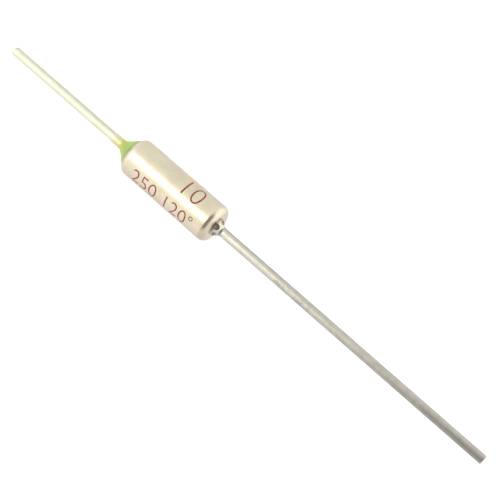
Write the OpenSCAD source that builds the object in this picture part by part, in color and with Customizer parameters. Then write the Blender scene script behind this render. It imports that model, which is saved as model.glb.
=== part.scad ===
/* [Case] */
// Outer diameter of the drawn case
case_d = 4.0; // [3.4:0.1:5]
// Length of the case from rolled rim to closed end
case_len = 10.95; // [10:0.05:13]
// Thickness of the case wall
case_wall = 0.25; // [0.15:0.05:0.35]
// Thickness of the closed end
end_t = 0.3; // [0.2:0.05:0.5]
// Outside radius between wall and closed end
corner_r = 0.65; // [0.4:0.05:0.9]
// Outside radius of the rolled rim
rim_r = 0.65; // [0.4:0.05:0.8]
// Flat run of the lip inside the roll
lip_run = 0.1; // [0.02:0.01:0.3]
// Diameter of the shallow dimple round the staked lead
dimple_d = 2.3; // [2:0.1:2.4]
// Depth of that dimple
dimple_t = 0.03; // [0.02:0.01:0.1]

/* [Leads] */
// Diameter of both lead wires
lead_d = 0.95; // [0.8:0.05:1.1]
// Bevel left by the cutter at the lead ends
cut_bevel = 0.08; // [0.02:0.01:0.2]

/* [Case lead] */
// Length of the case lead beyond the closed end
case_lead_len = 32.6; // [20:0.1:60]
// Diameter of the lead's rivet head inside the case
rivet_d = 1.8; // [1.4:0.1:2.4]
// Thickness of that head
rivet_t = 0.3; // [0.2:0.05:0.5]
// Diameter over the staked ears
ear_d = 1.8; // [1.6:0.1:2]
// Length of the staked ears along the lead
ear_len = 0.75; // [0.5:0.05:1]
// Flat height of the ears at the case
ear_land = 0.2; // [0.1:0.05:0.3]
// Number of staked ears
ear_count = 6; // [3:1:8]
// Radius of the round punch that leaves the pockets between the ears
punch_r = 0.32; // [0.2:0.02:0.4]
// Distance of the punch's centre from the axis
punch_out = 0.85; // [0.75:0.01:1]
// Height of the punch's centre over the dimple's floor
punch_up = 0.25; // [0.2:0.05:0.5]
// Turn of the first pocket from the top, in degrees towards -Y
punch_turn = 17; // [0:1:60]

/* [Pellet and drive spring] */
// Length of the thermal pellet
pellet_len = 2.4; // [1.5:0.1:3]
// Bevel on the pellet's edges
pellet_bevel = 0.2; // [0.05:0.05:0.3]
// Thickness of the two pressure discs
disc_t = 0.15; // [0.1:0.05:0.3]
// Wire diameter of the barrel spring
barrel_wire = 0.3; // [0.2:0.02:0.36]
// Coil diameter of the barrel spring at its ends, over the wire's centre
barrel_end_d = 2.2; // [1.8:0.1:2.4]
// Coil diameter of the barrel spring at its middle
barrel_mid_d = 2.7; // [2.2:0.1:2.9]
// Turns of the barrel spring
barrel_turns = 6; // [4:1:7]

/* [Contact] */
// Sheet thickness of the star contact
star_t = 0.12; // [0.08:0.01:0.2]
// Length of the star's bent petals
petal_len = 0.6; // [0.4:0.05:0.8]
// Number of petals
petal_count = 10; // [6:1:12]
// Width of the slots between the petals
petal_slot = 0.25; // [0.15:0.05:0.4]
// How deep the slots cut in from the star's edge
slot_in = 0.55; // [0.4:0.05:0.7]
// Wire diameter of the trip spring
trip_wire = 0.18; // [0.12:0.02:0.2]
// Coil diameter of the trip spring, over the wire's centre
trip_d = 1.7; // [1.5:0.05:1.75]
// Turns of the trip spring
trip_turns = 4; // [3:1:6]

/* [Ceramic bush] */
// Length of the ceramic bush
bush_len = 3.4; // [3:0.1:3.8]
// Thickness of the bush's web round the lead
web_t = 1.5; // [1:0.1:1.8]
// Diameter of the spring chamber in the bush
chamber_d = 2.5; // [2.3:0.1:2.7]
// Rounding of the bush's inner edge
bush_edge = 0.12; // [0.05:0.01:0.2]
// Gap between bush and star contact
star_gap = 0.15; // [0.05:0.05:0.3]

/* [Isolated lead] */
// Length of the isolated lead beyond the resin cone
iso_lead_len = 14.85; // [10:0.05:50]
// Diameter of the lead's head inside the bush
head_d = 2.0; // [1.9:0.1:2.2]
// Thickness of that head
head_t = 0.3; // [0.2:0.05:0.5]
// Diameter of the upset shoulder under the resin
shoulder_d = 1.4; // [1.2:0.1:1.8]

/* [Sealing resin] */
// Length of the resin cone in front of the rim
cone_len = 1.25; // [1:0.05:2]
// Where the cone's foot ends on the rolled rim, in degrees round the roll from the wall
foot_turn = 62; // [45:1:80]
// Thickness of the resin round the lead at the cone's tip
tip_t = 0.07; // [0.04:0.01:0.15]
// Length of the film that creeps along the lead
film_len = 1.3; // [0.5:0.1:3]
// Thickness of that film where it ends
film_t = 0.03; // [0.02:0.005:0.04]

/* [Fits] */
// Radial gap between pieces that slide into each other
slip_gap = 0.02; // [0.01:0.01:0.04]
// Radial gap left for the bond between resin and metal
bond_gap = 0.01; // [0.005:0.005:0.02]

/* [Hidden] */
$fn = 64;
// Overrun of a cut past the face that it leaves through
cut = 0.2;
// Least radius or land kept where two rounds meet
least = 0.05;
// Rings of a spring's wire in each turn, and sides of the wire
coil_rings = 18;
coil_sides = 8;
case_r = case_d / 2;
bore_r = case_r - case_wall;
lip_r = case_r - rim_r - lip_run;
inner_corner = max(corner_r - case_wall, least);
inner_rim = max(rim_r - case_wall, least);
lead_r = lead_d / 2;
hole_r = lead_r + slip_gap;
slide_r = bore_r - slip_gap;
// Stations along the axis, from the cut end of the isolated lead to that of the case lead
x_rim = -case_len / 2;
x_cone_tip = x_rim - cone_len;
x_film = x_cone_tip - film_len;
x_iso_end = x_cone_tip - iso_lead_len;
x_bush = x_rim + case_wall;
x_head = x_bush + web_t;
x_bush_end = x_bush + bush_len;
x_star = x_bush_end + star_gap;
x_contact_disc = x_star + star_t;
x_drive = x_contact_disc + disc_t;
x_closed = case_len / 2;
x_floor = x_closed - end_t;
x_rivet = x_floor - rivet_t;
x_pellet = x_rivet - pellet_len;
x_pellet_disc = x_pellet - disc_t;
x_stake = x_closed - dimple_t;
x_case_end = x_closed + case_lead_len;
disc_d = 2 * (slide_r - star_t - slip_gap);
// Foot of the resin cone on the roll of the rim
foot_r = case_r - rim_r * (1 - cos(foot_turn));
x_foot = x_rim + rim_r * (1 - sin(foot_turn));

// Turns a half section about the X axis: its first number is the radius, its second the place on X
module turned() {
    rotate([0, 90, 0])
        rotate_extrude()
            children();
}

// Places a solid that stands on the XY plane at a station of the axis
module at_x(x) {
    translate([x, 0, 0])
        rotate([0, 90, 0])
            children();
}

// Half section of a plug with a rounded edge at its near end and at its far end
module plug_section(r, len, near_r, far_r) {
    square([r - near_r, len - far_r]);
    translate([0, near_r]) {
        square([r, len - near_r - far_r]);
        square([r - far_r, len - near_r]);
        translate([r - near_r, 0])
            circle(r = near_r);
    }
    translate([r - far_r, len - far_r])
        circle(r = far_r);
}

// Drawn metal cup with its open rim rolled in over the bush
module case() {
    color("#d9d2b8")
        turned()
            difference() {
                translate([0, x_rim])
                    plug_section(case_r, case_len, rim_r, corner_r);
                translate([0, x_bush])
                    plug_section(bore_r, x_floor - x_bush, inner_rim, inner_corner);
                translate([0, x_rim - cut])
                    square([lip_r, case_wall + 2 * cut]);
                translate([0, x_floor - cut])
                    square([hole_r, end_t + 2 * cut]);
                translate([0, x_stake])
                    square([dimple_d / 2, dimple_t + cut]);
            }
}

// Tinned wire, riveted inside the closed end and staked outside it
module case_lead() {
    color("#b9b6ab") {
        turned()
            polygon([
                [0, x_rivet],
                [rivet_d / 2, x_rivet],
                [rivet_d / 2, x_floor],
                [lead_r, x_floor],
                [lead_r, x_case_end - cut_bevel],
                [lead_r - cut_bevel, x_case_end],
                [0, x_case_end]
            ]);
        difference() {
            turned()
                polygon([
                    [0, x_stake],
                    [ear_d / 2, x_stake],
                    [ear_d / 2, x_stake + ear_land],
                    [lead_r, x_stake + ear_len],
                    [0, x_stake + ear_len]
                ]);
            for (i = [0 : ear_count - 1])
                rotate([punch_turn + i * 360 / ear_count, 0, 0])
                    translate([x_stake + punch_up, 0, punch_out])
                        sphere(r = punch_r);
        }
    }
}

// Pressed organic pellet that melts at the rated temperature
module thermal_pellet() {
    color("#e8e2cf")
        turned()
            polygon([
                [0, x_pellet],
                [slide_r - pellet_bevel, x_pellet],
                [slide_r, x_pellet + pellet_bevel],
                [slide_r, x_rivet - pellet_bevel],
                [slide_r - pellet_bevel, x_rivet],
                [0, x_rivet]
            ]);
}

// Disc that spreads the spring's force over the pellet
module pellet_disc() {
    color("#a9a49a")
        at_x(x_pellet_disc)
            cylinder(d = disc_d, h = disc_t);
}

// Disc that spreads the spring's force over the star contact
module contact_disc() {
    color("#a9a49a")
        at_x(x_contact_disc)
            cylinder(d = disc_d, h = disc_t);
}

// Round wire wound about the X axis from x0 to x1, with a bulge between its ends
module coil(x0, x1, wire, end_d, mid_d, turns) {
    rings = turns * coil_rings;
    wire_r = wire / 2;
    points = [
        for (i = [0 : rings])
            let (
                share = i / rings,
                a = 360 * turns * share,
                x = x0 + wire_r + (x1 - x0 - wire) * share,
                r = (end_d + (mid_d - end_d) * sin(180 * share)) / 2
            )
            for (j = [0 : coil_sides - 1])
                let (
                    b = 360 * j / coil_sides,
                    out = r + wire_r * cos(b)
                )
                [x + wire_r * sin(b), out * cos(a), out * sin(a)]
    ];
    sides = [
        for (i = [0 : rings - 1])
            for (j = [0 : coil_sides - 1])
                let (
                    next = (j + 1) % coil_sides,
                    here = i * coil_sides,
                    there = here + coil_sides
                )
                each [
                    [here + j, there + next, there + j],
                    [here + j, here + next, there + next]
                ]
    ];
    ends = [
        [for (j = [coil_sides - 1 : -1 : 0]) j],
        [for (j = [0 : coil_sides - 1]) rings * coil_sides + j]
    ];
    polyhedron(points = points, faces = concat(sides, ends), convexity = turns);
}

// Strong spring that holds the contact shut against the solid pellet
module barrel_spring() {
    color("#8d8f92")
        coil(x_drive, x_pellet_disc, barrel_wire, barrel_end_d, barrel_mid_d, barrel_turns);
}

// Weak spring that throws the contact off the lead when the pellet melts
module trip_spring() {
    color("#8d8f92")
        coil(x_head + head_t, x_star, trip_wire, trip_d, trip_d, trip_turns);
}

// Silver sheet star whose petals slide along the case wall
module star_contact() {
    color("#dcdcdc")
        difference() {
            at_x(x_star)
                cylinder(r = slide_r, h = petal_len);
            at_x(x_contact_disc)
                cylinder(r = slide_r - star_t, h = petal_len);
            for (i = [0 : petal_count - 1])
                rotate([i * 360 / petal_count, 0, 0])
                    translate([x_star - cut, -petal_slot / 2, slide_r - slot_in])
                        cube([petal_len + 2 * cut, petal_slot, slot_in + cut]);
        }
}

// Ceramic insulator, rounded for the rolled rim, that carries the isolated lead and houses the trip spring
module ceramic_bush() {
    color("#f0ece2")
        turned()
            difference() {
                translate([0, x_bush])
                    plug_section(slide_r, bush_len, inner_rim, bush_edge);
                translate([0, x_bush - cut])
                    square([hole_r, bush_len]);
                translate([0, x_head])
                    square([chamber_d / 2, bush_len]);
            }
}

// Tinned wire held in the bush between its head and an upset shoulder
module isolated_lead() {
    color("#cfccbf")
        turned()
            polygon([
                [0, x_iso_end],
                [lead_r - cut_bevel, x_iso_end],
                [lead_r, x_iso_end + cut_bevel],
                [lead_r, x_cone_tip],
                [shoulder_d / 2, x_bush],
                [lead_r, x_bush],
                [lead_r, x_head],
                [head_d / 2, x_head],
                [head_d / 2, x_head + head_t],
                [lead_r, x_head + head_t],
                [lead_r, x_star - cut_bevel],
                [lead_r - cut_bevel, x_star],
                [0, x_star]
            ]);
}

// Cured resin that fills the mouth of the case and rises from the rolled rim to the lead
module sealing_resin() {
    color("#a4bc5c")
        turned()
            difference() {
                polygon([
                    [lead_r + bond_gap, x_film],
                    [lead_r + film_t, x_film],
                    [lead_r + tip_t, x_cone_tip],
                    [foot_r, x_foot],
                    [lip_r - bond_gap, x_foot],
                    [lip_r - bond_gap, x_bush],
                    [shoulder_d / 2 + bond_gap, x_bush],
                    [lead_r + bond_gap, x_cone_tip]
                ]);
                translate([case_r - rim_r, x_rim + rim_r])
                    circle(r = rim_r + bond_gap);
                translate([lip_r - bond_gap, x_rim - bond_gap])
                    square([lip_run + bond_gap, rim_r]);
            }
}

case();
case_lead();
thermal_pellet();
pellet_disc();
barrel_spring();
contact_disc();
star_contact();
trip_spring();
ceramic_bush();
isolated_lead();
sealing_resin();
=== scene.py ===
import math

import bpy
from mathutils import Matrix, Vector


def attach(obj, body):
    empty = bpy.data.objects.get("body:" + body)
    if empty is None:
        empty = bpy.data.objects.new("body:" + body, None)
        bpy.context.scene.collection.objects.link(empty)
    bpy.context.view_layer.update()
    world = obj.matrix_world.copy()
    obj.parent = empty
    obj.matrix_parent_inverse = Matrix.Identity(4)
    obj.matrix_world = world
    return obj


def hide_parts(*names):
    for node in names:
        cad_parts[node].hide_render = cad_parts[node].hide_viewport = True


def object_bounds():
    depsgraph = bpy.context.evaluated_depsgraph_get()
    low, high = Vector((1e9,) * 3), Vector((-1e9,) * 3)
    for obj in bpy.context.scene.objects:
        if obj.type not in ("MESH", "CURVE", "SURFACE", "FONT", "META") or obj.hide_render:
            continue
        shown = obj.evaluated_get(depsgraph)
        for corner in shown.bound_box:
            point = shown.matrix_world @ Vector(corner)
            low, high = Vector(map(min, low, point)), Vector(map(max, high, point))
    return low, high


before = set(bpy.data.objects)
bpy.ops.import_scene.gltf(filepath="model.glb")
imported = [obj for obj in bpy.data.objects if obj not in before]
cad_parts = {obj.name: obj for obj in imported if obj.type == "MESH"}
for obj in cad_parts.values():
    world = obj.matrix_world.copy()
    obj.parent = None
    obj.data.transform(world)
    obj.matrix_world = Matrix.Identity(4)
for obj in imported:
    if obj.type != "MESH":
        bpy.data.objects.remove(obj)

cad_box = [[float(v) for v in corner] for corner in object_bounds()]


# Case: a cup drawn from thin brass and plated to a warm, satin silver. Its closed end is
# round-cornered, with a shallow dimple where the lead is staked, and its open rim is rolled in over
# the bush. Sizes here and below are in millimetres, with X along the fuse's axis.
MM = 0.001
CASE_HALF = 5.475
CASE_SKIN_R = 1.996
CASE_ROUND_R = 0.65
CASE_ROUND_AT = CASE_SKIN_R - CASE_ROUND_R
CASE_WALL = 0.25
CASE_FLOOR_X, CASE_FLOOR_R = 5.175, 1.0
CASE_BORE_R = 1.75
BORE_ROUND_R = 0.4
BORE_ROUND_AT = CASE_BORE_R - BORE_ROUND_R
BUSH_X = -CASE_HALF + CASE_WALL
CASE_LIP_R = 1.25
LIP_LAND, LIP_FLARE = 0.22, 0.03
LEAD_HOLE_R = 0.495
DIMPLE_DEPTH, DIMPLE_R = 0.03, 1.06
# Pairs of a depth and a radius
DIMPLE_EDGE = ((0.002, 1.20), (0.012, 1.16), (0.024, 1.12))
STAKE_X = CASE_HALF - DIMPLE_DEPTH
WALL_RINGS = (-4.78, -4.0, -2.0, 0.0, 2.0, 4.0, 4.78)
CASE_SIDES, CASE_ROUND_STEPS, BORE_ROUND_STEPS = 168, 18, 8
SMOOTH_BELOW = math.radians(32)


def arc(x, r, radius, start, end, steps):
    """Stations round a corner of a turned section, between two angles in degrees from X."""
    turn = [math.radians(start + (end - start) * i / steps) for i in range(steps + 1)]
    return [(x + radius * math.cos(a), r + radius * math.sin(a)) for a in turn]


def turned_piece(name, stations, sides, closed_ring):
    """A piece turned about X: a disc at the first (x, radius) station, extruded and resized to each
    next one. A closed ring loses its two end discs, and its last edge is bridged to its first."""
    bpy.ops.object.select_all(action="DESELECT")
    x, r = stations[0]
    bpy.ops.mesh.primitive_circle_add(vertices=sides, radius=r * MM, fill_type="NGON",
                                      location=(x * MM, 0, 0), rotation=(0, math.pi / 2, 0))
    piece = bpy.context.object
    piece.name = piece.data.name = name
    bpy.ops.object.transform_apply(location=True, rotation=True, scale=True)
    bpy.ops.object.mode_set(mode="EDIT")
    bpy.ops.mesh.select_mode(type="FACE")
    bpy.ops.mesh.select_all(action="SELECT")
    for next_x, next_r in stations[1:]:
        step = ((next_x - x) * MM, 0, 0)
        bpy.ops.mesh.extrude_region_move(TRANSFORM_OT_translate={"value": step})
        bpy.ops.transform.resize(value=(1, next_r / r, next_r / r),
                                 center_override=(next_x * MM, 0, 0))
        x, r = next_x, next_r
    if closed_ring:
        bpy.ops.mesh.select_all(action="DESELECT")
        bpy.ops.object.mode_set(mode="OBJECT")
        # Only the end discs have more than four corners
        for face in piece.data.polygons:
            face.select = len(face.vertices) > 4
        bpy.ops.object.mode_set(mode="EDIT")
        bpy.ops.mesh.delete(type="ONLY_FACE")
        bpy.ops.mesh.select_mode(type="EDGE")
        bpy.ops.mesh.select_all(action="DESELECT")
        bpy.ops.mesh.select_non_manifold(extend=False)
        bpy.ops.mesh.bridge_edge_loops()
    bpy.ops.mesh.select_all(action="SELECT")
    bpy.ops.mesh.normals_make_consistent(inside=False)
    bpy.ops.object.mode_set(mode="OBJECT")
    bpy.ops.object.shade_smooth_by_angle(angle=SMOOTH_BELOW)
    return piece


case = turned_piece(
    "case_shell",
    [(CASE_FLOOR_X, LEAD_HOLE_R), (CASE_FLOOR_X, CASE_FLOOR_R)]
    + arc(CASE_FLOOR_X - BORE_ROUND_R, BORE_ROUND_AT, BORE_ROUND_R, 0, 90, BORE_ROUND_STEPS)
    + arc(BUSH_X + BORE_ROUND_R, BORE_ROUND_AT, BORE_ROUND_R, 90, 180, BORE_ROUND_STEPS)
    + [(BUSH_X, CASE_LIP_R), (BUSH_X - LIP_LAND, CASE_LIP_R)]
    + [(-CASE_HALF, CASE_LIP_R + LIP_FLARE)]
    + arc(-CASE_HALF + CASE_ROUND_R, CASE_ROUND_AT, CASE_ROUND_R, 180, 90, CASE_ROUND_STEPS)
    + [(x, CASE_SKIN_R) for x in WALL_RINGS]
    + arc(CASE_HALF - CASE_ROUND_R, CASE_ROUND_AT, CASE_ROUND_R, 90, 0, CASE_ROUND_STEPS)
    + [(CASE_HALF - deep, r) for deep, r in DIMPLE_EDGE]
    + [(STAKE_X, DIMPLE_R), (STAKE_X, LEAD_HOLE_R)],
    CASE_SIDES, closed_ring=True)
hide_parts("case")
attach(case, "root")


def linear(code):
    """Linear colour of an sRGB hex code."""
    parts = [int(code[i:i + 2], 16) / 255 for i in (1, 3, 5)]
    return [c / 12.92 if c <= 0.04045 else ((c + 0.055) / 1.055) ** 2.4 for c in parts] + [1.0]


def add(mat, kind, inputs=None, stops=(), **settings):
    """Adds a node. Each input is linked to a socket or set to a value, the settings are the node's
    own properties, and the stops are a colour ramp's (position, hex) pairs."""
    node = mat.node_tree.nodes.new(kind)
    for key, value in settings.items():
        setattr(node, key, value)
    for key, value in (inputs or {}).items():
        if isinstance(value, bpy.types.NodeSocket):
            mat.node_tree.links.new(value, node.inputs[key])
        else:
            node.inputs[key].default_value = value
    if stops:
        ramp = node.color_ramp.elements
        while len(ramp) < len(stops):
            ramp.new(0.5)
        for element, (position, code) in zip(ramp, stops):
            element.position, element.color = position, linear(code)
    return node


def new_finish(name):
    """An empty node material, and the piece's own coordinates in it."""
    mat = bpy.data.materials.new(name)
    mat.use_nodes = True
    mat.node_tree.nodes.clear()
    return mat, add(mat, "ShaderNodeTexCoord").outputs["Object"]


def dress(piece, mat):
    """Puts one material on a piece."""
    piece.data.materials.clear()
    piece.data.materials.append(mat)


# Satin plating gives a soft, warm white gleam with faint stains. Its grain is a few hundredths of a
# millimetre wide, and is drawn coarser so that it shows
STAIN, PLATING_GRAIN = 1.43, 0.111
plating, place = new_finish("satin_plated_brass")
stain = add(plating, "ShaderNodeTexNoise", {"Vector": place, "Scale": 1 / (STAIN * MM),
                                            "Detail": 3.0, "Roughness": 0.55}).outputs["Fac"]
grain = add(plating, "ShaderNodeTexNoise", {"Vector": place, "Scale": 1 / (PLATING_GRAIN * MM),
                                            "Detail": 2.0, "Roughness": 0.6}).outputs["Fac"]
skin = add(plating, "ShaderNodeValToRGB", {"Fac": stain},
           [(0.32, "#dcd2b7"), (0.52, "#e3dabf"), (0.72, "#e9dec7")]).outputs["Color"]
satin = add(plating, "ShaderNodeMapRange", {"Value": grain, "From Min": 0.3, "From Max": 0.7,
                                            "To Min": 0.27, "To Max": 0.37}).outputs["Result"]
relief = add(plating, "ShaderNodeBump",
             {"Height": grain, "Strength": 0.12, "Distance": 0.01 * MM}).outputs["Normal"]
metal = add(plating, "ShaderNodeBsdfPrincipled",
            {"Base Color": skin, "Roughness": satin, "Normal": relief,
             "Metallic": 1.0}).outputs["BSDF"]
add(plating, "ShaderNodeOutputMaterial", {"Surface": metal})
dress(case, plating)


# Case lead: tinned copper wire. It is riveted inside the closed end, and outside it six ears are
# staked out of the wire with round punches, which leave scooped pockets between them.
WIRE_R, WIRE_SIDES = 0.475, 96
RIVET_T, RIVET_R = 0.3, 0.90
RIVET_X = CASE_FLOOR_X - RIVET_T
EARS, EAR_R = 6, 0.9
# Pairs of a distance along X and a radius
RIVET_EDGE = ((0.0, 0.86), (0.01, 0.89), (0.04, RIVET_R))
RIVET_FOOT = ((0.01, RIVET_R), (0.0, 0.88), (0.0, WIRE_R))
STAKE = ((0.0, WIRE_R), (0.0, 0.87), (0.02, 0.895), (0.05, EAR_R), (0.17, EAR_R), (0.2, 0.89),
         (0.24, 0.86), (0.62, 0.57), (0.68, 0.525), (0.75, 0.49), (0.82, 0.478), (0.88, WIRE_R),
         (0.93, WIRE_R))
CASE_LEAD_RINGS = (10.0, 15.0, 20.0, 25.0, 30.0, 35.0)
CASE_LEAD_END_X = 38.075
# Pairs of a distance from the cut end and how far its edge draws in
CASE_LEAD_CUT = ((0.12, 0.0), (0.08, 0.0), (0.03, 0.02), (0.0, 0.08))
case_lead = turned_piece(
    "staked_case_lead",
    [(RIVET_X + on, r) for on, r in RIVET_EDGE]
    + [(CASE_FLOOR_X - back, r) for back, r in RIVET_FOOT]
    + [(STAKE_X + on, r) for on, r in STAKE]
    + [(x, WIRE_R) for x in CASE_LEAD_RINGS]
    + [(CASE_LEAD_END_X - back, WIRE_R - inward) for back, inward in CASE_LEAD_CUT],
    WIRE_SIDES, closed_ring=False)

# Tin on drawn wire gives a cloudy grey, with die lines that spread a highlight round the wire and
# not along it. The lines are a few hundredths of a millimetre apart, and are drawn wider so that
# they show
DIE_LINE, DIE_RUN, TIN_CLOUD, NICK = 0.0714, 3.85, 0.625, 0.238


def drawn_wire(name, dull, mid, bright, gloss_range, nicks=None):
    """Tinned wire in three shades. Nicks are small tool marks between two X stations, on the -Y
    side, which darken the tin and sink into it."""
    mat, place = new_finish(name)
    line_scale = (1 / (DIE_RUN * MM), 1 / (DIE_LINE * MM), 1 / (DIE_LINE * MM))
    lines = add(mat, "ShaderNodeMapping", {"Vector": place, "Scale": line_scale}).outputs["Vector"]
    die = add(mat, "ShaderNodeTexNoise", {"Vector": lines, "Scale": 1.0, "Detail": 3.0,
                                          "Roughness": 0.6}).outputs["Fac"]
    cloud = add(mat, "ShaderNodeTexNoise", {"Vector": place, "Scale": 1 / (TIN_CLOUD * MM),
                                            "Detail": 3.0, "Roughness": 0.6}).outputs["Fac"]
    both = add(mat, "ShaderNodeMath", {0: die, 1: cloud}, operation="ADD").outputs["Value"]
    half = add(mat, "ShaderNodeMath", {0: both, 1: 0.5}, operation="MULTIPLY").outputs["Value"]
    tin = add(mat, "ShaderNodeValToRGB", {"Fac": half},
              [(0.36, dull), (0.5, mid), (0.66, bright)]).outputs["Color"]
    height = die
    if nicks:
        where = add(mat, "ShaderNodeSeparateXYZ", {"Vector": place}).outputs
        span = add(mat, "ShaderNodeMapRange", {"Value": where["X"], "From Min": nicks[0] * MM,
                                               "From Max": nicks[1] * MM}).outputs["Result"]
        zone = add(mat, "ShaderNodeValToRGB", {"Fac": span},
                   [(0.0, "#000000"), (0.2, "#ffffff"), (0.8, "#ffffff"),
                    (1.0, "#000000")]).outputs["Color"]
        tooth = add(mat, "ShaderNodeTexNoise", {"Vector": place, "Scale": 1 / (NICK * MM),
                                                "Detail": 1.0}).outputs["Fac"]
        spots = add(mat, "ShaderNodeValToRGB", {"Fac": tooth},
                    [(0.52, "#000000"), (0.60, "#ffffff")]).outputs["Color"]
        side = add(mat, "ShaderNodeMapRange",
                   {"Value": where["Y"], "From Min": -0.2 * MM, "From Max": -0.05 * MM,
                    "To Min": 1.0, "To Max": 0.0}).outputs["Result"]
        bitten = add(mat, "ShaderNodeMath", {0: zone, 1: side},
                     operation="MULTIPLY").outputs["Value"]
        mark = add(mat, "ShaderNodeMath", {0: bitten, 1: spots},
                   operation="MULTIPLY").outputs["Value"]
        worn = add(mat, "ShaderNodeMapRange", {"Value": mark, "To Min": 1.0,
                                               "To Max": 0.72}).outputs["Result"]
        tin = add(mat, "ShaderNodeVectorMath", {0: tin, "Scale": worn},
                  operation="SCALE").outputs["Vector"]
        height = add(mat, "ShaderNodeMath", {0: height, 1: mark},
                     operation="SUBTRACT").outputs["Value"]
    gloss = add(mat, "ShaderNodeMapRange",
                {"Value": die, "From Min": 0.3, "From Max": 0.7, "To Min": gloss_range[0],
                 "To Max": gloss_range[1]}).outputs["Result"]
    relief = add(mat, "ShaderNodeBump",
                 {"Height": height, "Strength": 0.25, "Distance": 0.01 * MM}).outputs["Normal"]
    around = add(mat, "ShaderNodeTangent", direction_type="RADIAL", axis="X").outputs["Tangent"]
    metal = add(mat, "ShaderNodeBsdfPrincipled",
                {"Base Color": tin, "Roughness": gloss, "Normal": relief, "Tangent": around,
                 "Metallic": 1.0, "Anisotropic": 0.95}).outputs["BSDF"]
    add(mat, "ShaderNodeOutputMaterial", {"Surface": metal})
    return mat


dress(case_lead, drawn_wire("drawn_tinned_wire_grey", "#bdbaad", "#cac7ba", "#d6d3c6", (0.28, 0.40),
                            nicks=(12.4, 17.8)))
# The stake burnishes the tin on the ears and on the flare behind them, which makes it glossier. It
# is also painted paler: this painted light stands in for the highlights on the ears, and it
# lightens five of the six pockets against their shade. The top pocket gets a darker, duller tin,
# which is painted shade in that recess.
burnished_and_painted_light_tin = drawn_wire("burnished_staked_tin_and_painted_light", "#d6d3c6", "#dfdcd0", "#e8e5d9", (0.22, 0.34))
# Darker, duller tin for the top pocket: painted shade in that recess
painted_shade_pocket_wire = drawn_wire("punched_pocket_painted_shade", "#aaa698", "#b6b2a5", "#c2beb1", (0.32, 0.46))


def pick(piece):
    """Leaves one piece selected and active."""
    bpy.ops.object.select_all(action="DESELECT")
    piece.select_set(True)
    bpy.context.view_layer.objects.active = piece


TOP_POCKET_TURN = 17
PUNCH_R, PUNCH_OUT, PUNCH_UP = 0.32, 0.85, 0.25
PUNCH_SEGMENTS, PUNCH_RINGS = 40, 24
for i in range(EARS):
    turn = math.radians(TOP_POCKET_TURN + i * 360 / EARS)
    bpy.ops.object.select_all(action="DESELECT")
    bpy.ops.mesh.primitive_uv_sphere_add(
        segments=PUNCH_SEGMENTS, ring_count=PUNCH_RINGS, radius=PUNCH_R * MM,
        location=((STAKE_X + PUNCH_UP) * MM, -PUNCH_OUT * MM * math.sin(turn),
                  PUNCH_OUT * MM * math.cos(turn)))
    punch = bpy.context.object
    bpy.ops.object.transform_apply(location=True, rotation=True, scale=True)
    # The top pocket gets the darker tin as painted shade, and the others the paler tin as painted
    # light
    dress(punch, painted_shade_pocket_wire if i == 0 else burnished_and_painted_light_tin)
    pick(case_lead)
    pocket = case_lead.modifiers.new("pocket", "BOOLEAN")
    pocket.operation = "DIFFERENCE"
    pocket.solver = "EXACT"
    pocket.material_mode = "TRANSFER"
    pocket.object = punch
    bpy.ops.object.modifier_apply(modifier="pocket")
    bpy.data.objects.remove(punch, do_unlink=True)
FLARE_END_X = STAKE_X + 0.66
# The flare behind the ears takes the paler tin too, which is partly burnished and partly painted
# light
burnished_and_painted_light_slot = case_lead.data.materials.find(burnished_and_painted_light_tin.name)
for face in case_lead.data.polygons:
    if face.material_index == 0 and STAKE_X * MM < face.center.x < FLARE_END_X * MM:
        face.material_index = burnished_and_painted_light_slot
pick(case_lead)
bpy.ops.object.shade_smooth_by_angle(angle=SMOOTH_BELOW)
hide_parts("case_lead")
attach(case_lead, "root")


# Inner pieces, shut in the case: pressed pellet, stamped discs, wound springs, silver star and
# ceramic bush. They keep their CAD solids, and each gets the finish of its own material.
def inner_finish(name, pale, deep, mottle, roughness, metallic):
    """A finish between a pale and a deep shade, with a mottle of the given size."""
    mat, place = new_finish(name)
    speck = add(mat, "ShaderNodeTexNoise", {"Vector": place, "Scale": 1 / (mottle * MM),
                                            "Detail": 4.0, "Roughness": 0.6}).outputs["Fac"]
    colour = add(mat, "ShaderNodeValToRGB", {"Fac": speck},
                 [(0.35, deep), (0.65, pale)]).outputs["Color"]
    relief = add(mat, "ShaderNodeBump",
                 {"Height": speck, "Strength": 0.3, "Distance": 0.02 * MM}).outputs["Normal"]
    shader = add(mat, "ShaderNodeBsdfPrincipled",
                 {"Base Color": colour, "Normal": relief, "Roughness": roughness,
                  "Metallic": metallic}).outputs["BSDF"]
    add(mat, "ShaderNodeOutputMaterial", {"Surface": shader})
    return mat


# Pressed powder is a chalky, speckled cream
pellet = inner_finish("pressed_organic_pellet", "#eee8d6", "#ddd4bb", 0.15, 0.7, 0.0)
# Stamped steel is a warm grey with a soft gleam, and hard-drawn spring wire is darker and glossier
stamped = inner_finish("stamped_steel", "#b4b0a6", "#9c978c", 0.2, 0.35, 1.0)
spring_wire = inner_finish("hard_drawn_spring_wire", "#9a9b9d", "#7e7f82", 0.1, 0.3, 1.0)
# Silver sheet is the palest and glossiest of the metals
silver = inner_finish("silver_sheet", "#e4e3de", "#d2d0c8", 0.3, 0.25, 1.0)
# Unglazed alumina is a matt, fine-grained white
alumina = inner_finish("unglazed_alumina", "#f4f0e6", "#e6e0d2", 0.1, 0.6, 0.0)
for node_name, mat in (("thermal_pellet", pellet), ("pellet_disc", stamped),
                       ("contact_disc", stamped), ("barrel_spring", spring_wire),
                       ("trip_spring", spring_wire), ("star_contact", silver),
                       ("ceramic_bush", alumina)):
    dress(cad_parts[node_name], mat)


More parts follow.
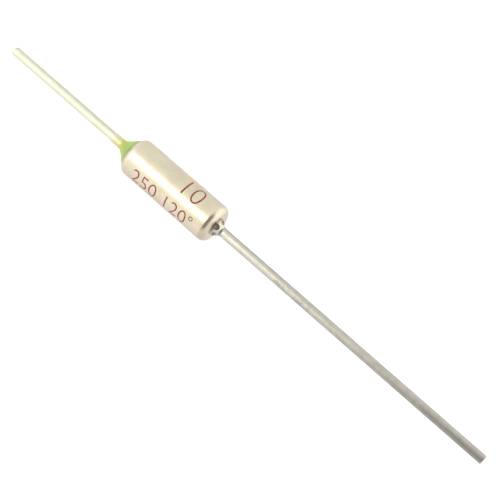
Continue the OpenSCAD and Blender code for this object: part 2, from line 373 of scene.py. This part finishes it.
# Isolated lead: the same wire, brighter at this end. A head inside the bush and an upset shoulder
# under the resin hold it, and its inner end touches the star contact.
ISO_END_X = -21.575
ISO_CUT = ((0.0, 0.08), (0.03, 0.025), (0.08, 0.0), (0.12, 0.0))
CONE_TIP_X = -6.725
ISO_RINGS = (-20.0, -17.0, -14.0, -11.0, -9.0, CONE_TIP_X)
SHOULDER_R = 0.70
HEAD_X = BUSH_X + 1.5
HEAD = ((0.0, WIRE_R), (0.0, 0.98), (0.02, 1.0), (0.28, 1.0), (0.3, 0.98), (0.3, WIRE_R))
STAR_X = -1.675
CONTACT_EDGE = ((0.08, 0.0), (0.02, 0.03), (0.0, 0.08))
isolated_lead = turned_piece(
    "headed_isolated_lead",
    [(ISO_END_X + on, WIRE_R - inward) for on, inward in ISO_CUT]
    + [(x, WIRE_R) for x in ISO_RINGS]
    + [(BUSH_X, SHOULDER_R), (BUSH_X, WIRE_R)]
    + [(HEAD_X + on, r) for on, r in HEAD]
    + [(STAR_X - back, WIRE_R - inward) for back, inward in CONTACT_EDGE],
    WIRE_SIDES, closed_ring=False)
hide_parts("isolated_lead")
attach(isolated_lead, "root")
# Fresher tin than on the case lead, which gives a pale, creamy white
dress(isolated_lead,
      drawn_wire("drawn_tinned_wire_bright", "#cbcbb6", "#d2d2bf", "#d9d9c8", (0.38, 0.50)))


# Sealing resin: green two-part resin, poured into the mouth of the case and cured. It stands in a
# cone between the rolled rim and the lead, and a thin yellowish film of it creeps along the wire.
RESIN_BORE_R = 0.485
FILM_X = -8.025
FILM = ((FILM_X, 0.498), (FILM_X + 0.1, 0.505), (CONE_TIP_X - 0.25, 0.522),
        (CONE_TIP_X - 0.1, 0.54))
CONE = ((CONE_TIP_X, 0.575), (-6.575, 0.68), (-6.355, 0.85), (-6.135, 1.03), (-5.915, 1.22),
        (-5.685, 1.42), (-5.48, 1.59))
RIM_GAP, MOUTH_GAP = 0.008, 0.01
RIM_START, RIM_END, RIM_STEPS = 152, 188, 8
RESIN_SIDES = 144
resin = turned_piece(
    "resin_cone",
    [(FILM_X, RESIN_BORE_R), *FILM, *CONE]
    + arc(-CASE_HALF + CASE_ROUND_R, CASE_ROUND_AT, CASE_ROUND_R + RIM_GAP,
          RIM_START, RIM_END, RIM_STEPS)
    + [(BUSH_X, CASE_LIP_R - MOUTH_GAP), (BUSH_X, SHOULDER_R + MOUTH_GAP)]
    + [(CONE_TIP_X, RESIN_BORE_R)],
    RESIN_SIDES, closed_ring=True)
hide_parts("sealing_resin")
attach(resin, "root")
# Cured resin gives a soft, cloudy colour that follows its depth: pale over the film, yellow-green
# at the tip, deeper green towards the rim. The film is so thin that the wire's metal shines through
RESIN_CLOUD = 0.667
DEEP_X = -5.40
green, place = new_finish("cured_green_resin")
cloudy = add(green, "ShaderNodeTexNoise", {"Vector": place, "Scale": 1 / (RESIN_CLOUD * MM),
                                           "Detail": 2.0}).outputs["Fac"]
where = add(green, "ShaderNodeSeparateXYZ", {"Vector": place}).outputs
along = add(green, "ShaderNodeMapRange", {"Value": where["X"], "From Min": FILM_X * MM,
                                          "From Max": DEEP_X * MM}).outputs["Result"]
tint = add(green, "ShaderNodeValToRGB", {"Fac": along},
           [(0.0, "#e4e2c8"), (0.36, "#e0dcaa"), (0.47, "#bcc663"), (0.62, "#adc359"),
            (0.85, "#9fb95b"), (1.0, "#8aa658")]).outputs["Color"]
mottle = add(green, "ShaderNodeMapRange", {"Value": cloudy, "From Min": 0.3, "From Max": 0.7,
                                           "To Min": 0.92, "To Max": 1.05}).outputs["Result"]
toned = add(green, "ShaderNodeVectorMath", {0: tint, "Scale": mottle},
            operation="SCALE").outputs["Vector"]
relief = add(green, "ShaderNodeBump",
             {"Height": cloudy, "Strength": 0.1, "Distance": 0.02 * MM}).outputs["Normal"]
thin = add(green, "ShaderNodeMapRange", {"Value": along, "From Min": 0.40, "From Max": 0.50,
                                         "To Min": 1.0, "To Max": 0.0}).outputs["Result"]
sheen = add(green, "ShaderNodeMapRange",
            {"Value": thin, "To Min": 0.25, "To Max": 0.55}).outputs["Result"]
body = add(green, "ShaderNodeBsdfPrincipled",
           {"Base Color": toned, "Normal": relief, "Metallic": thin, "Roughness": sheen,
            "Subsurface Weight": 0.15, "Subsurface Scale": 0.3 * MM}).outputs["BSDF"]
add(green, "ShaderNodeOutputMaterial", {"Surface": body})
dress(resin, green)


# Rating print: plain figures in red ink, pad-printed on the case in two rows that face one way. The
# ink is a film of a few thousandths of a millimetre that follows the round of the case.
PRINT_R, INK_T = 2.0, 0.003
TOP_TURN, TOP_HEIGHT = -13.0, 2.0
FRONT_TURN, FRONT_HEIGHT = -84.0, 1.5
# Figures, the X where they start, the turn of their foot in degrees from +Z to +Y, and their height
ROWS = (("10", 0.55, TOP_TURN, TOP_HEIGHT), ("250", -3.85, FRONT_TURN, FRONT_HEIGHT),
        ("120", -0.05, FRONT_TURN, FRONT_HEIGHT))
RING_X, RING_AT = 3.25, (0.3, 1.25, 0)
RING_R, RING_LINE, RING_SIDES = 0.24, 0.09, 40
FIGURE_SHARE = 0.7
STROKE_THINNING, STROKE_MERGE = 0.055, 0.025
CURVE_STEPS = 8
print_rows = []
for figures, start_x, foot_turn, height in ROWS:
    bpy.ops.object.select_all(action="DESELECT")
    bpy.ops.object.text_add(location=(0, 0, 0))
    row = bpy.context.object
    row.data.body = figures
    row.data.size = height / FIGURE_SHARE
    # Figures taller than a millimetre are thinned, because their strokes are no heavier
    row.data.offset = -STROKE_THINNING * (height - 1.0)
    row.data.resolution_u = CURVE_STEPS
    bpy.ops.object.convert(target="MESH")
    bpy.ops.object.mode_set(mode="EDIT")
    bpy.ops.mesh.select_all(action="SELECT")
    # Thinned strokes cross themselves at a sharp corner, so points this close become one
    bpy.ops.mesh.remove_doubles(threshold=STROKE_MERGE)
    bpy.ops.mesh.beautify_fill()
    bpy.ops.object.mode_set(mode="OBJECT")
    print_rows.append((row, start_x, foot_turn, height))
bpy.ops.object.select_all(action="DESELECT")
bpy.ops.mesh.primitive_circle_add(vertices=RING_SIDES, radius=RING_R, fill_type="NGON",
                                  location=RING_AT)
ring = bpy.context.object
bpy.ops.object.transform_apply(location=True, rotation=True, scale=True)
bpy.ops.object.mode_set(mode="EDIT")
bpy.ops.mesh.select_all(action="SELECT")
bpy.ops.mesh.inset(thickness=RING_LINE)
bpy.ops.mesh.delete(type="FACE")
bpy.ops.object.mode_set(mode="OBJECT")
print_rows.append((ring, RING_X, FRONT_TURN, FRONT_HEIGHT))
# The flat rows are cut into narrow strips, bent round the case and joined
CUTS, CUT_MARGIN, CUT_TOLERANCE, WELD = 24, 0.3, 0.005, 0.001
for row, start_x, foot_turn, height in print_rows:
    pick(row)
    bpy.ops.object.mode_set(mode="EDIT")
    for i in range(CUTS):
        bpy.ops.mesh.select_all(action="SELECT")
        cut_y = (height + CUT_MARGIN) * (i + 0.5) / CUTS
        bpy.ops.mesh.bisect(plane_co=(0, cut_y, 0), plane_no=(0, 1, 0), threshold=CUT_TOLERANCE)
    bpy.ops.object.mode_set(mode="OBJECT")
    for point in row.data.vertices:
        turn = math.radians(foot_turn) + point.co.y / PRINT_R
        point.co = ((point.co.x + start_x) * MM, PRINT_R * MM * math.sin(turn),
                    PRINT_R * MM * math.cos(turn))
rating_print = print_rows[0][0]
pick(rating_print)
for row, *_ in print_rows:
    row.select_set(True)
bpy.ops.object.join()
rating_print.name = rating_print.data.name = "rating_print"
bpy.ops.object.mode_set(mode="EDIT")
bpy.ops.mesh.select_all(action="SELECT")
bpy.ops.mesh.remove_doubles(threshold=WELD * MM)
bpy.ops.object.mode_set(mode="OBJECT")
film = rating_print.modifiers.new("film", "SOLIDIFY")
film.thickness = INK_T * MM
film.offset = -1.0
bpy.ops.object.modifier_apply(modifier="film")
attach(rating_print, "root")
# Marking ink gives a soft brick red, a little patchy where the pad left less of it
INK_PATCH = 0.2
red, place = new_finish("red_marking_ink")
patch = add(red, "ShaderNodeTexNoise", {"Vector": place, "Scale": 1 / (INK_PATCH * MM),
                                        "Detail": 3.0, "Roughness": 0.6}).outputs["Fac"]
pigment = add(red, "ShaderNodeValToRGB", {"Fac": patch},
              [(0.3, "#8c3430"), (0.55, "#9a403b"), (0.75, "#ae5a52")]).outputs["Color"]
body = add(red, "ShaderNodeBsdfPrincipled",
           {"Base Color": pigment, "Roughness": 0.45}).outputs["BSDF"]
add(red, "ShaderNodeOutputMaterial", {"Surface": body})
dress(rating_print, red)


# Studio: a white table that the case lies on, a white room that is dark round the camera, a soft
# box whose reflection is the bright band along the case, and the camera. Places here are in metres.
TABLE_SIDE = 3.0
bpy.ops.object.select_all(action="DESELECT")
bpy.ops.mesh.primitive_plane_add(size=TABLE_SIDE, location=(0, 0, cad_box[0][2]))
table = bpy.context.object
table.name = "white_table"
table.visible_glossy = False
# Matt white board, flooded with light, gives an even white with only a trace of a shadow. Its glow
# stands for that light
white, _ = new_finish("white_table_top")
board = add(white, "ShaderNodeBsdfPrincipled",
            {"Base Color": linear("#f6f6f5"), "Roughness": 0.9, "Specular IOR Level": 0.0,
             "Emission Color": linear("#ffffff"), "Emission Strength": 0.65}).outputs["BSDF"]
add(white, "ShaderNodeOutputMaterial", {"Surface": board})
dress(table, white)

# The room is painted by direction. It is white above and a shade cooler below the table's edge, and
# brighter on the -Y side and in one far corner
FAR_CORNER = (0.74, 0.67, 0.05)
room = bpy.data.worlds.new("white_room")
room.use_nodes = True
room.node_tree.nodes.clear()
outward = add(room, "ShaderNodeTexCoord").outputs["Generated"]
facing = add(room, "ShaderNodeSeparateXYZ", {"Vector": outward}).outputs
height = add(room, "ShaderNodeMapRange", {"Value": facing["Z"], "From Min": -1.0,
                                          "From Max": 1.0}).outputs["Result"]
walls = add(room, "ShaderNodeValToRGB", {"Fac": height},
            [(0.1, "#f7f4f9"), (0.5, "#fcf8fa"), (0.62, "#ffffff")]).outputs["Color"]
bright = add(room, "ShaderNodeMapRange", {"Value": facing["Y"], "From Min": -0.3, "From Max": -0.95,
                                          "To Min": 1.0, "To Max": 1.22}).outputs["Result"]
corner = add(room, "ShaderNodeVectorMath", {0: outward, 1: FAR_CORNER},
             operation="DOT_PRODUCT").outputs["Value"]
window = add(room, "ShaderNodeMapRange", {"Value": corner, "From Min": 0.55, "From Max": 0.95,
                                          "To Min": 0.0, "To Max": 0.45}).outputs["Result"]
lit = add(room, "ShaderNodeMath", {0: bright, 1: window}, operation="ADD").outputs["Value"]
# Tilt is the angle about X from +Z towards -Y, and turn is the same angle as a share of a full turn
toward = add(room, "ShaderNodeMath", {0: facing["Y"], 1: -1.0},
             operation="MULTIPLY").outputs["Value"]
tilt = add(room, "ShaderNodeMath", {0: toward, 1: facing["Z"]},
           operation="ARCTAN2").outputs["Value"]
turn = add(room, "ShaderNodeMapRange", {"Value": tilt, "From Min": -math.pi,
                                        "From Max": math.pi}).outputs["Result"]
# The side round the camera is dark, which shades the closed end of the case and the stake
lean = add(room, "ShaderNodeMath", {0: tilt, 1: 0.07, 2: facing["X"]},
           operation="MULTIPLY_ADD").outputs["Value"]
begin = add(room, "ShaderNodeMapRange", {"Value": lean, "From Min": -0.190, "From Max": -0.010,
                                         "To Min": 0.0, "To Max": 0.8},
            interpolation_type="SMOOTHSTEP").outputs["Result"]
end = add(room, "ShaderNodeMapRange", {"Value": facing["X"], "From Min": 0.68, "From Max": 0.82,
                                       "To Min": 1.0, "To Max": 0.0}).outputs["Result"]
span = add(room, "ShaderNodeValToRGB", {"Fac": turn},
           [(0.400, "#000000"), (0.455, "#ffffff"), (0.69, "#ffffff"), (0.74, "#959595"),
            (0.917, "#8c8c8c"), (0.99, "#000000")]).outputs["Color"]
across = add(room, "ShaderNodeMath", {0: begin, 1: end}, operation="MULTIPLY").outputs["Value"]
dark = add(room, "ShaderNodeMath", {0: across, 1: span}, operation="MULTIPLY").outputs["Value"]
light = add(room, "ShaderNodeMath", {0: 1.0, 1: dark}, operation="SUBTRACT").outputs["Value"]
cool = add(room, "ShaderNodeValToRGB", {"Fac": dark},
           [(0.0, "#ffffff"), (0.8, "#fdf3fb")]).outputs["Color"]
tinted = add(room, "ShaderNodeVectorMath", {0: walls, 1: cool},
             operation="MULTIPLY").outputs["Vector"]
# A dark panel beside the camera darkens the lower half of the case lead's far end
aside = add(room, "ShaderNodeMapRange", {"Value": facing["X"], "From Min": -0.190,
                                         "From Max": 0.0}).outputs["Result"]
panel_width = add(room, "ShaderNodeValToRGB", {"Fac": aside},
                  [(0.0, "#000000"), (0.2, "#ffffff"), (0.42, "#ffffff"), (0.7, "#d8d8d8"),
                   (1.0, "#000000")]).outputs["Color"]
panel_depth = add(room, "ShaderNodeValToRGB", {"Fac": turn},
                  [(0.46, "#000000"), (0.54, "#9c9c9c"), (0.80, "#909090"),
                   (0.97, "#000000")]).outputs["Color"]
panel = add(room, "ShaderNodeMath", {0: panel_width, 1: panel_depth},
            operation="MULTIPLY").outputs["Value"]
past_panel = add(room, "ShaderNodeMath", {0: 1.0, 1: panel}, operation="SUBTRACT").outputs["Value"]
# A grey card on the far side greys the upper flank of the case lead next to the stake
beyond = add(room, "ShaderNodeMapRange", {"Value": facing["X"], "From Min": -0.290,
                                          "From Max": -0.170}).outputs["Result"]
card_width = add(room, "ShaderNodeValToRGB", {"Fac": beyond},
                 [(0.0, "#000000"), (0.12, "#ffffff"), (0.32, "#ffffff"),
                  (0.8, "#000000")]).outputs["Color"]
card_depth = add(room, "ShaderNodeValToRGB", {"Fac": turn},
                 [(0.03, "#000000"), (0.12, "#969696"), (0.39, "#969696"),
                  (0.46, "#000000")]).outputs["Color"]
card = add(room, "ShaderNodeMath", {0: card_width, 1: card_depth},
           operation="MULTIPLY").outputs["Value"]
past_card = add(room, "ShaderNodeMath", {0: 1.0, 1: card}, operation="SUBTRACT").outputs["Value"]
# A halo round the soft box softens the edges of its band on the case
halo = add(room, "ShaderNodeValToRGB", {"Fac": turn},
           [(0.40, "#000000"), (0.47, "#757575"), (0.54, "#959595"), (0.62, "#959595"),
            (0.74, "#656565"), (0.82, "#000000")]).outputs["Color"]
near = add(room, "ShaderNodeMapRange", {"Value": facing["X"], "From Min": -0.29, "From Max": -0.24,
                                        "To Min": 1.0, "To Max": 0.0}).outputs["Result"]
glow = add(room, "ShaderNodeMath", {0: halo, 1: near}, operation="MULTIPLY").outputs["Value"]
soft = add(room, "ShaderNodeMath", {0: lit, 1: glow}, operation="ADD").outputs["Value"]
power = add(room, "ShaderNodeMath", {0: soft, 1: light}, operation="MULTIPLY").outputs["Value"]
past_both = add(room, "ShaderNodeMath", {0: past_panel, 1: past_card},
                operation="MULTIPLY").outputs["Value"]
shown = add(room, "ShaderNodeMath", {0: power, 1: past_both}, operation="MULTIPLY").outputs["Value"]
sky = add(room, "ShaderNodeBackground", {"Color": tinted, "Strength": shown}).outputs["Background"]
add(room, "ShaderNodeOutputWorld", {"Surface": sky})
bpy.context.scene.world = room
bpy.context.scene.view_settings.view_transform = "Standard"

# The camera has the photograph's view, with a focal length in pixels of its 500-pixel frame
EYE = (0.052775, -0.045583, 0.153948)
AZIMUTH, ELEVATION = math.radians(43.364), math.radians(67.645)
FOCAL_PX, FRAME_PX, SENSOR = 1800, 500, 36.0
lens = bpy.data.cameras.new("camera")
lens.sensor_width = SENSOR
lens.lens = SENSOR * FOCAL_PX / FRAME_PX
lens.clip_start = 0.005
camera = bpy.data.objects.new("camera", lens)
camera.location = EYE
camera.rotation_euler = (math.pi / 2 - ELEVATION, 0, AZIMUTH)
bpy.context.scene.collection.objects.link(camera)
bpy.context.scene.camera = camera

# The soft box is a square of warm light that faces the case, with an even glow all over
SOFT_BOX_AT = (-0.278, -0.267, 0.531)
SOFT_BOX_SIDE, SOFT_BOX_GLOW = 0.30, 2.95
box_light = bpy.data.lights.new("soft_box", "AREA")
box_light.shape = "RECTANGLE"
box_light.color = linear("#fffef1")[:3]
box_light.size = box_light.size_y = SOFT_BOX_SIDE
box_light.energy = SOFT_BOX_GLOW * math.pi * SOFT_BOX_SIDE ** 2
soft_box = bpy.data.objects.new("soft_box", box_light)
soft_box.location = SOFT_BOX_AT
soft_box.rotation_euler = (-soft_box.location).to_track_quat("-Z", "Y").to_euler()
bpy.context.scene.collection.objects.link(soft_box)
